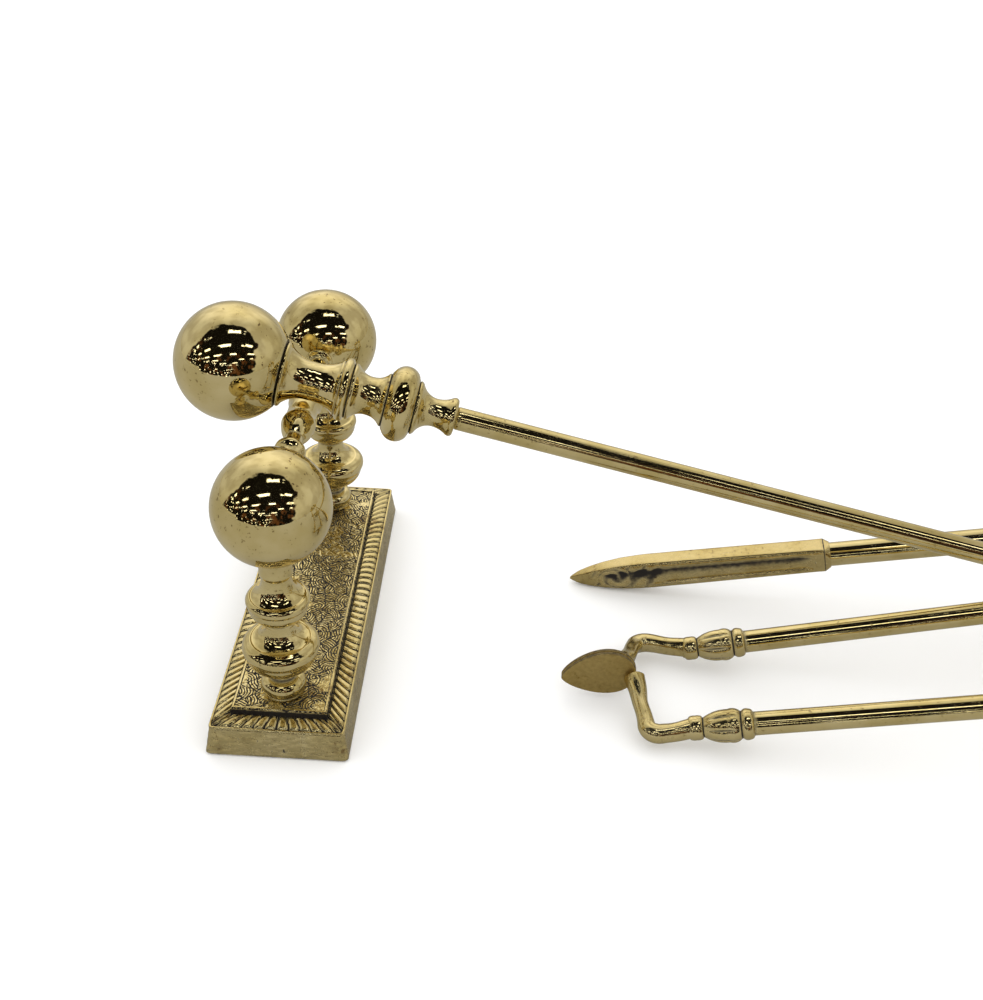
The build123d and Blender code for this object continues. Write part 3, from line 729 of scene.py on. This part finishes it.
def shovelPan():
    # Plan distance past the corner centre, rho, gives the height: t = (rho - corner) / tilt and
    # z = (t + sqrt(t t + bend bend)) / 2. Both edge blocks share rho, so the corner is a quarter turn.
    p = panShape
    front = p["rear"] + p["length"]
    # Steps out from the floor: the bend takes the first fifth, the wall the rest, the roll goes on.
    bendShare = 0.2
    level = np.concatenate([np.linspace(0, 1, 12)[:-1] * bendShare,
                            bendShare + np.linspace(0, 1, 46) * (1 - bendShare),
                            1.0 + np.linspace(0, p["rollTurn"], 13)[1:]])
    middle = np.linspace(-1, 1, 60)[1:-1]
    forward = np.linspace(0, 1, 110)[1:]
    backSteps = np.concatenate([level[::-1], np.zeros(len(forward))])
    runSteps = np.concatenate([np.zeros(len(level)), forward])
    sideSteps = np.concatenate([-level[::-1], np.zeros(len(middle)), level])
    spanSteps = np.concatenate([-np.ones(len(level)), middle, np.ones(len(level))])
    back, sideways = np.meshgrid(backSteps, sideSteps, indexing="ij")
    run, span = np.meshgrid(runSteps, spanSteps, indexing="ij")
    cornerX = p["rear"] + p["corner"]
    centreX = cornerX + run * (front - cornerX)
    width = p["rearWidth"] + (p["frontWidth"] - p["rearWidth"]) * (centreX - p["rear"]) / p["length"]
    centreY = span * (width / 2 - p["corner"])
    size = np.maximum(back, np.abs(sideways))
    both = back + np.abs(sideways)
    turn = np.where(both > 0, np.abs(sideways) / np.maximum(both, 1e-9), 1.0) * np.pi / 2
    fall = np.clip((centreX - cornerX) / (front - cornerX), 0, 1)
    rim = p["depth"] + (p["lip"] - p["depth"]) * fall
    wall = np.clip((size - bendShare) / (1 - bendShare), 0, 1)
    rho = p["corner"] * np.clip(size / bendShare, 0, 1) + p["tilt"] * rim * wall
    t = (rho - p["corner"]) / p["tilt"]
    z = (t + np.sqrt(t * t + p["bend"] ** 2)) / 2
    # The rim rolls over: an arc that starts along the wall, rise, and turns outwards, lean.
    curl = np.clip(size - 1.0, 0, None)
    lean = np.array([1.0, -p["tilt"]]) / np.hypot(1.0, p["tilt"])
    rise = np.array([p["tilt"], 1.0]) / np.hypot(1.0, p["tilt"])
    rho = rho + p["roll"] * (lean[0] * (1 - np.cos(curl)) + rise[0] * np.sin(curl))
    z = z + p["roll"] * (lean[1] * (1 - np.cos(curl)) + rise[1] * np.sin(curl))
    x = centreX - rho * np.cos(turn)
    y = centreY + np.sign(sideways) * rho * np.sin(turn)
    dents = 0.12 * np.sin(x * 0.11 + 1.0) * np.sin(y * 0.14) + 0.07 * np.sin(x * 0.31 + y * 0.23)
    z = z + np.clip(dents, 0, 1) * (wall == 0)
    dark = np.exp(-((t - 0.5) / 3.0) ** 2) * 0.55
    return closedSheet(np.stack([x, y, z], axis=-1), p["sheet"], dark)


socketShape = {
    "length": 36.0, "rivetCircle": 11.0, "rivetTurns": (1 / 4, 7 / 12, 11 / 12), "lobes": 8,
    "body": [(5.3, 0.0, 0), (6.6, 0.1, 0), (7.2, 0.6, 0.1), (7.2, 2.4, 0.4), (6.6, 3.0, 0), (6.2, 3.6, 0),
             (8.8, 13.0, 1.2), (5.6, 22.0, 0.6), (6.9, 25.0, 0.8), (5.6, 28.0, 0.8), (8.6, 35.0, -0.8)],
    "flange": [(1.0, -2.6, 0), (13.6, -2.6, 0), (14.4, -2.0, 0.2), (14.5, -0.4, 0), (14.2, 0.0, 0),
               (1.0, 0.0, 0)],
    "rivet": [(1.0, -2.8, 0), (1.55, -2.75, 0), (1.6, -2.6, 0), (1.6, 1.5, 0), (2.7, 1.62, 0),
              (0.1, 2.86, 0.55)],
}


def raised(profile, height):
    # The same profile further along its axis.
    return [(radius, along + height, bulge) for radius, along, bulge in profile]


def shovel():
    # The socket meets the pan's rear wall, which leans by the same tilt as its other walls.
    p, f = panShape, socketShape
    tilt, drift = p["tilt"], layShape["shovelDrift"]
    restY, restHeight = layShape["shovelRest"][1:]
    wallX = (p["rear"] - restHeight * tilt) / (1 - tilt ** 2)
    wallAt = wallX * np.sqrt(1 + drift ** 2 + tilt ** 2)
    socketStart = wallAt - f["length"]
    handle("shovel", handleShape["rodRadius"], socketStart + 5.0)
    place = toolFrames["shovel"]
    wall = aimed((place @ moved(z=wallAt))[:3, 3], (1, 0, tilt), (0, 1, 0))
    lobes = (f["lobes"], socketStart + 4.5, socketStart + 21.0)
    body = turned(raised(f["body"], socketStart), lobes=lobes)
    flange = turned(f["flange"], step=0.3)
    piece("shovel_cast_socket", joined(placed(body, place), placed(flange, wall)), castBrass, "shovel",
          ["shovel_socket"])
    heads = []
    for share in f["rivetTurns"]:
        angle = share * 2 * np.pi
        spot = wall @ moved(f["rivetCircle"] * np.cos(angle), f["rivetCircle"] * np.sin(angle))
        heads.append(placed(turned(f["rivet"], step=0.12, around=48, edge=0.06), spot))
    piece("shovel_rivet_heads", joined(*heads), castBrass, "shovel", ["shovel_rivets"])
    pan = placed(shovelPan(), moved(setPlace[0], setPlace[1] + restY + drift * wallX))
    piece("shovel_folded_pan", pan, sheetBrass, "shovel", ["shovel_pan"])


pokerShape = {
    "length": 132.0,
    "sections": [(-3.0, 13.2, 13.2), (0.0, 13.4, 13.4), (1.0, 12.6, 14.0), (5.0, 12.0, 14.2),
                 (40.0, 11.6, 15.2), (70.0, 11.3, 16.0), (92.0, 11.0, 16.4), (104.0, 10.2, 15.2),
                 (114.0, 8.6, 12.4), (122.0, 6.4, 9.0), (128.0, 3.9, 5.2), (131.0, 2.0, 2.6),
                 (132.0, 0.8, 0.9)],
    "flute": 1.5, "eye": 108.0, "eyeHalf": 7.5,
}


def pokerPoint(start):
    # Section: a flat-topped box with both sides hollowed, x = a (1 - flute cos^2), carried along
    # the point. The hollow has round ends, and the last third is chased with leaf scrolls.
    p = pokerShape
    table = np.array(p["sections"])
    h = np.concatenate([np.linspace(-3, 1.2, 16), np.linspace(1.6, 126, 260),
                        np.linspace(126.4, p["length"], 30)])
    wide = softened(np.interp(h, table[:, 0], table[:, 1]) / 2, 2.5)
    tall = softened(np.interp(h, table[:, 0], table[:, 2]) / 2, 2.5)
    count = 120
    q = (np.arange(count) + 0.5) / count * 2 * np.pi
    power = 0.30
    sx = np.sign(np.cos(q)) * np.abs(np.cos(q)) ** power
    sy = np.sign(np.sin(q)) * np.abs(np.sin(q)) ** power
    rounding = np.clip((0 - h) / 3, 0, 1)[:, None] + np.clip((h - 128) / 4, 0, 1)[:, None]
    x = wide[:, None] * (sx * (1 - rounding) + np.cos(q) * rounding)
    y = tall[:, None] * (sy * (1 - rounding) + np.sin(q) * rounding)
    across = y / tall[:, None]
    inFlute = np.clip(1 - (across / 0.62) ** 2, 0, 1)
    ends = np.clip((h - 5.0) / 6.0, 0, 1) * np.clip((118.0 - h) / 22.0, 0, 1)
    onSide = np.clip((np.abs(sx) - 0.8) / 0.15, 0, 1)
    depth = p["flute"] * np.sqrt(inFlute) * np.sqrt(ends)[:, None] * onSide
    fromEye = (h[:, None] - p["eye"]) / p["eyeHalf"]
    away = np.hypot(fromEye, across / 0.8)
    scroll = 0.5 + 0.5 * np.cos(away * 9 + 2 * np.arctan2(across, fromEye))
    veins = 0.5 + 0.5 * np.cos(h[:, None] * 0.72 + across * 4.0)
    chased = np.clip((h - 78) / 10, 0, 1)[:, None] * np.clip((124 - h) / 5, 0, 1)[:, None] * onSide
    carve = np.where(away < 1.25, scroll, veins) * chased
    x = x - np.sign(x) * (depth * (1 - 0.55 * chased) + 0.35 * carve)
    # Painted shade: the upper half of each side hollow is painted much darker than its lower half, standing
    # in for the shade that falls there. The rest of this darkening is patina in the hollows, the chasing and
    # the joint.
    shadedUpperHalf = np.clip((across - 0.05) / 0.25, 0, 1)
    dark = np.clip(depth / p["flute"], 0, 1) * (0.16 + 0.75 * shadedUpperHalf) + 0.55 * carve
    brim = np.exp(-((np.abs(across) - 0.66) / 0.07) ** 2) * onSide * ends[:, None] * 0.5
    dark = np.maximum(dark, brim)
    dark = np.maximum(dark, np.clip((0.5 - np.abs(h)) / 0.5, 0, 1)[:, None])
    rings = np.stack([x, y, np.repeat((start + h)[:, None], count, axis=1)], axis=-1)
    return ringSurface(rings, dark)


def poker():
    start = np.linalg.norm(pokerWay) - pokerShape["length"]
    handle("poker", handleShape["pokerRodRadius"], start + 5.0)
    point = placed(pokerPoint(start), toolFrames["poker"])
    piece("poker_spear", point, spearBrass, "poker", ["poker_point"])


tongsShape = {
    "hinge": 120.0, "armEnd": 504.5, "spread": 28.2, "taper": 0.026, "arm": 5.35, "bend": 24.0,
    "cheek": 9.6, "headHalf": 5.6, "slot": 2.15,
    "stem": [(5.3, -0.1, 0), (6.9, 0.0, 0), (7.4, 0.5, 0.1), (7.4, 2.2, 0.3), (6.7, 2.9, 0), (6.5, 3.4, 0),
             (5.4, 11.0, -0.5), (5.2, 13.0, 0), (1.0, 13.2, 0)],
    "pin": [(0.1, -7.6, 0), (3.4, -6.9, 0.35), (4.9, -5.65, 0.35), (3.0, -5.6, 0), (3.0, 5.6, 0),
            (4.9, 5.65, 0), (3.4, 6.9, 0.35), (0.1, 7.6, 0.35)],
    "eye": [(3.1, -2.0, 0), (8.6, -2.0, 0), (9.0, -1.7, 0.1), (9.0, 1.7, 0), (8.6, 2.0, 0.1), (3.1, 2.0, 0)],
    "padStart": 47.6, "padLength": 35.5, "padHeight": 24.5, "padThick": 2.2, "padGap": 0.2, "padRise": 15.0,
}
towardsHinge = aimed((0, 0, tongsShape["hinge"]), (0, 1, 0), (1, 0, 0))


def tongsArm(side):
    p = tongsShape
    shoulder = p["hinge"] + 2.0
    corner = (side * (p["spread"] + p["taper"] * (p["armEnd"] - shoulder)), 0, shoulder)
    step, around = 1.6, 56
    foot = (side * p["spread"], 0, p["armEnd"] - 2.4)
    path = bentPath([(side * 9.4, 0, p["hinge"]), corner, foot], p["bend"], step)
    angle = np.arange(around) * 2 * np.pi / around
    section = np.stack([np.cos(angle), np.sin(angle)], axis=-1) * p["arm"]
    rings = np.broadcast_to(section, (len(path), around, 2))
    left = np.arange(len(path))[::-1] * step
    return carried(path, rings, np.exp(-(left / 2.2) ** 2)[:, None] * 0.8)


clawShape = {
    "near": (4.6, 43.6, 11.2, 48.9), "far": (5.4, 48.6, 16.0, 54.2),
    "swelling": [(5.0, -3.6, 0), (5.7, -3.3, 0.1), (6.9, -1.6, 0.35), (7.0, 0.8, 0.2), (6.4, 1.6, 0),
                 (6.0, 2.1, 0), (6.7, 2.7, 0), (7.6, 8.0, 0.7), (4.7, 18.8, 0.9), (4.3, 19.3, 0),
                 (5.3, 19.9, 0.1), (5.6, 22.6, 0.2), (5.3, 25.4, 0.2), (4.4, 26.0, 0), (4.2, 26.8, 0)],
    "shank": [(0, 4.7, 4.7), (4, 4.6, 4.6), (14, 4.3, 4.1), (22, 4.6, 4.4), (26, 5.2, 4.6),
              (34, 3.9, 3.7), (46, 3.5, 3.4), (56, 4.6, 4.4), (64, 5.0, 5.0)],
}


def clawFoot(side):
    # Turned collar and petals about the arm, then a shank whose oval section changes along a path
    # that runs on past the ring, turns in at the heel and climbs to the pad.
    p = tongsShape
    lean = aimed((side * p["spread"], 0, p["armEnd"]), (-side * p["taper"], 0, 1), (1, 0, 0))
    collar = turned(clawShape["swelling"], around=96, lobes=(7, 2.4, 19.2), groove=1.0, depth=0.4)
    start = (side * (p["spread"] - p["taper"] * 23.0), 0, p["armEnd"] + 23.0)
    out, along, high, reach = clawShape["near"] if side > 0 else clawShape["far"]
    heel = (side * (p["spread"] + out), 2.6, p["armEnd"] + along)
    foot = (side * (p["padGap"] + p["padThick"] - 0.3), high, p["armEnd"] + reach)
    path = bentPath([start, heel, foot], 5.5, 0.5)
    table = np.array(clawShape["shank"])
    run = np.linspace(0, table[-1, 0], len(path))
    a = softened(np.interp(run, table[:, 0], table[:, 1]), 7)
    b = softened(np.interp(run, table[:, 0], table[:, 2]), 7)
    angle = np.arange(64) * 2 * np.pi / 64
    knuckle = 0.16 * np.sin(run[:, None] * 0.34 + angle) + 0.14 * np.cos(3 * angle + run[:, None] * 0.11)
    section = np.stack([np.cos(angle) * (a[:, None] + knuckle),
                        np.sin(angle) * (b[:, None] + knuckle)], axis=-1)
    shank = carried(path, section, 0.26 * np.clip(-knuckle * 5, 0, 1))
    return joined(placed(collar, lean), shank)


def leafPad(side):
    # Leaf outline: half height = sin(pi s^0.72)^0.62 along its length. Rings grow from the middle of
    # the gripping face to the edge, round it, and close on the back, which is slightly domed.
    p = tongsShape
    count = 150
    w = np.arange(count) / count * 2 * np.pi
    s = (1 - np.cos(w)) / 2
    heel = p["armEnd"] + p["padStart"]
    z = heel + s * p["padLength"]
    tall = np.sin(np.pi * s ** 0.72) ** 0.62 * p["padHeight"] / 2 * np.sign(np.sin(w))
    centre = heel + 0.38 * p["padLength"]
    # Rows: share of the way from the middle to the outline, and depth behind the gripping face.
    rows = np.array([(0.05, 0.0), (0.25, 0.0), (0.45, 0.0), (0.62, 0.0), (0.78, 0.0), (0.90, 0.0),
                     (0.96, 0.0), (0.985, 0.08), (1.0, 0.35), (1.0, 0.8), (1.0, 1.3), (0.99, 1.62),
                     (0.97, 1.8), (0.94, 1.9), (0.86, 2.0), (0.72, 2.08), (0.5, 2.15), (0.28, 2.19),
                     (0.05, 2.2)])
    dish = 0.05 * np.sin(w * 3)[None, :] * np.sin(rows[:, :1] * 7)
    deep = np.clip(rows[:, 1:] + dish * (rows[:, 1:] > 1.7), 0, p["padThick"])
    rings = np.stack([side * (p["padGap"] + deep), p["padRise"] + rows[:, :1] * tall[None, :],
                      centre + rows[:, :1] * (z - centre)[None, :]], axis=-1)
    # Painted shade: the pad's rounded edge is painted darker all round, standing in for the shadow along its
    # thickness.
    dark = np.where((rows[:, 1] > 0.2) & (rows[:, 1] < 1.7), 0.55, 0.0)[:, None]
    if side < 0:
        rings = rings[:, ::-1]
    return ringSurface(rings, dark)


def tongs():
    p = tongsShape
    place = toolFrames["tongs"]
    neck = p["hinge"] - 18.0
    handle("tongs", handleShape["rodRadius"], neck + 4.0)
    cheeks = []
    for low, high in ((-p["headHalf"], -p["slot"]), (p["slot"], p["headHalf"])):
        cheek = [(1.0, low, 0), (8.8, low, 0), (9.5, low + 0.5, 0.2), (p["cheek"], high - 0.6, 0),
                 (9.0, high, 0.2), (1.0, high, 0)]
        cheeks.append(placed(turned(cheek, step=0.3, edge=0.2), towardsHinge))
    stem = turned(raised(p["stem"], neck))
    piece("tongs_hinge_head", placed(joined(stem, *cheeks), place), castBrass, "tongs",
          ["tongs_head"])
    pin = placed(turned(p["pin"], step=0.15, around=72, edge=0.08), towardsHinge)
    piece("tongs_rivet_pin", placed(pin, place), castBrass, "tongs", ["tongs_rivet"])
    for name, side, body in (("fixed", -1, "tongs"), ("moving", 1, "tongs_near_arm")):
        arm = tongsArm(side)
        if name == "moving":
            arm = joined(arm, placed(turned(p["eye"], step=0.3, edge=0.1), towardsHinge))
        label = "tongs_" + name
        piece(label + "_rod", placed(arm, place), drawnBrass, body, [label + "_arm"])
        foot, leaf = placed(clawFoot(side), place), placed(leafPad(side), place)
        piece(label + "_foot", foot, castBrass, body, [label + "_claw"])
        piece(label + "_leaf", leaf, wornBrass, body, [label + "_pad"])


shovel()
poker()
tongs()
print("tools made")


def ground():
    material, tree, shader = nodeTree("paleGround")
    place = node(tree, "ShaderNodeTexCoord").outputs["Object"]
    colour = blended(tree, noise(tree, place, 6.0, 3.0), (0.93, 0.93, 0.925, 1), (0.965, 0.965, 0.96, 1))
    # Painted shade: rays mirrored off the brass see the floor painted dark grey instead of white, standing
    # in for the shade under the pieces in their reflections.
    mirrored = node(tree, "ShaderNodeLightPath").outputs["Is Glossy Ray"]
    feed(tree, shader.inputs["Base Color"], blended(tree, mirrored, colour, (0.34, 0.33, 0.30, 1)))
    shader.inputs["Roughness"].default_value = 0.85
    mesh = bpy.data.meshes.new("ground")
    size = 6.0
    corners = [(-size, -size, 0), (size, -size, 0), (size, size, 0), (-size, size, 0)]
    mesh.from_pydata(corners, [], [(0, 1, 2, 3)])
    mesh.materials.append(material)
    made = bpy.data.objects.new("ground", mesh)
    bpy.context.scene.collection.objects.link(made)


lightShape = {
    "tent": (0.62, 0.60, 0.53, 1), "low": (0.42, 0.40, 0.35, 1), "spot": (1.15, 1.10, 0.98, 1),
    "room": (0.006, 0.005, 0.004, 1), "figure": (0.11, 0.045, 0.018, 1), "lamp": (3.2, 3.2, 3.1, 1),
    "fold": (0.74, 0.72, 0.68, 1), "spotWay": (-0.12, 0.80, 0.58), "spread": 1.35,
    "left": -1.05, "right": 0.80, "lowEdge": -0.30, "highEdge": 1.80, "lid": 0.50, "wobble": 0.40,
    "across": 0.95, "apart": 0.56, "stagger": 0.37, "slant": 0.22, "dots": 15.0,
}


def world():
    # A pale tent all round, with a dim room cut out of it on the side the viewer stands. Pitch
    # runs from the horizon there over the top, side is the leftward part of the direction. The
    # ceiling lamps sit on a level plane, x / z and y / z, so that they crowd towards the horizon.
    g = lightShape
    made = bpy.data.worlds.new("studio")
    bpy.context.scene.world = made
    made.use_nodes = True
    tree = made.node_tree
    out, back = tree.nodes["World Output"], tree.nodes["Background"]
    way = node(tree, "ShaderNodeTexCoord").outputs["Generated"]
    x, y, z = node(tree, "ShaderNodeSeparateXYZ", {0: way}).outputs
    forward = times(tree, y, -1.0)
    wobble = times(tree, less(tree, noise(tree, way, 4.0, 1.5), 0.5), g["wobble"])
    side, raised = plus(tree, x, wobble), plus(tree, maths(tree, "ARCTAN2", z, forward), wobble)
    # The room narrows towards its top and bottom like an eye.
    lid = times(tree, x, x, g["lid"])
    room = times(tree, ramp(tree, side, g["left"], g["left"] + 0.05),
                 ramp(tree, side, g["right"], g["right"] - 0.04),
                 ramp(tree, less(tree, raised, lid), g["lowEdge"], g["lowEdge"] + 0.06),
                 ramp(tree, plus(tree, raised, lid), g["highEdge"], g["highEdge"] - 0.06))
    # Lamps: a bright part of every row and column, kept above zero by whole steps of 20 and more.
    level = maths(tree, "MAXIMUM", z, 0.16)
    cx, cy = maths(tree, "DIVIDE", x, level), maths(tree, "DIVIDE", forward, level)
    cy = plus(tree, cy, times(tree, cx, g["slant"]))
    inRows = maths(tree, "DIVIDE", plus(tree, cy, 20.15), g["apart"])
    rows = maths(tree, "FRACT", inRows)
    shifted = plus(tree, cx, times(tree, maths(tree, "FLOOR", inRows), g["stagger"]))
    columns = maths(tree, "FRACT", maths(tree, "DIVIDE", plus(tree, shifted, 20.0), g["across"]))
    lamp = times(tree, ramp(tree, rows, 0.0, 0.06), ramp(tree, rows, 0.27, 0.20),
                 ramp(tree, columns, 0.0, 0.05), ramp(tree, columns, 0.60, 0.54),
                 ramp(tree, noise(tree, way, 5.0, 1.0), 0.45, 0.49), ramp(tree, z, 0.30, 0.36))
    dots = node(tree, "ShaderNodeTexVoronoi", {"Vector": way, "Scale": g["dots"]}).outputs["Distance"]
    dots = times(tree, ramp(tree, dots, 0.24, 0.16), ramp(tree, z, 0.44, 0.34),
                 ramp(tree, x, 0.30, 0.05), ramp(tree, z, -0.12, 0.0))
    brown = times(tree, ramp(tree, noise(tree, way, 6.0, 3.0), 0.52, 0.62), ramp(tree, z, 0.75, 0.35))
    inside = blended(tree, brown, g["room"], g["figure"])
    inside = blended(tree, maths(tree, "MAXIMUM", lamp, dots), inside, g["lamp"])
    tent = blended(tree, ramp(tree, z, -0.6, 0.45), g["low"], g["tent"])
    glow = ways(tree, "DOT_PRODUCT", way, g["spotWay"], output="Value")
    tent = blended(tree, ramp(tree, glow, 0.72, 1.0), tent, g["spot"])
    tent = blended(tree, ramp(tree, noise(tree, way, 2.2), 0.62, 0.40), tent, g["fold"], "MULTIPLY")
    feed(tree, back.inputs["Color"], blended(tree, room, tent, inside))
    back.inputs["Strength"].default_value = 1.0
    # Only mirrored rays see the tent and the room; all others see plain white.
    plainWhite = node(tree, "ShaderNodeBackground", {"Color": (1, 1, 1, 1), "Strength": g["spread"]})
    ray = node(tree, "ShaderNodeLightPath").outputs["Is Glossy Ray"]
    mix = node(tree, "ShaderNodeMixShader", {0: ray, 1: plainWhite.outputs[0], 2: back.outputs[0]})
    feed(tree, out.inputs["Surface"], mix.outputs[0])


cameraShape = {
    "place": (99.1, -511.8, 423.5), "right": (0.9983, 0.0449, 0.0363),
    "up": (-0.0552, 0.5581, 0.8279), "back": (0.0169, -0.8286, 0.5597), "lens": 46.76,
}


def camera():
    data = bpy.data.cameras.new("view")
    made = bpy.data.objects.new("view", data)
    bpy.context.scene.collection.objects.link(made)
    place = Vector((setPlace + cameraShape["place"]).tolist()) * mm
    turn = Matrix((cameraShape["right"], cameraShape["up"], cameraShape["back"])).transposed()
    made.matrix_world = Matrix.Translation(place) @ turn.to_4x4()
    data.sensor_width = 36.0
    data.lens = cameraShape["lens"]
    data.clip_start = 0.01
    bpy.context.scene.camera = made
    bpy.context.scene.view_settings.view_transform = "Standard"


ground()
world()
camera()
print("light and camera set")
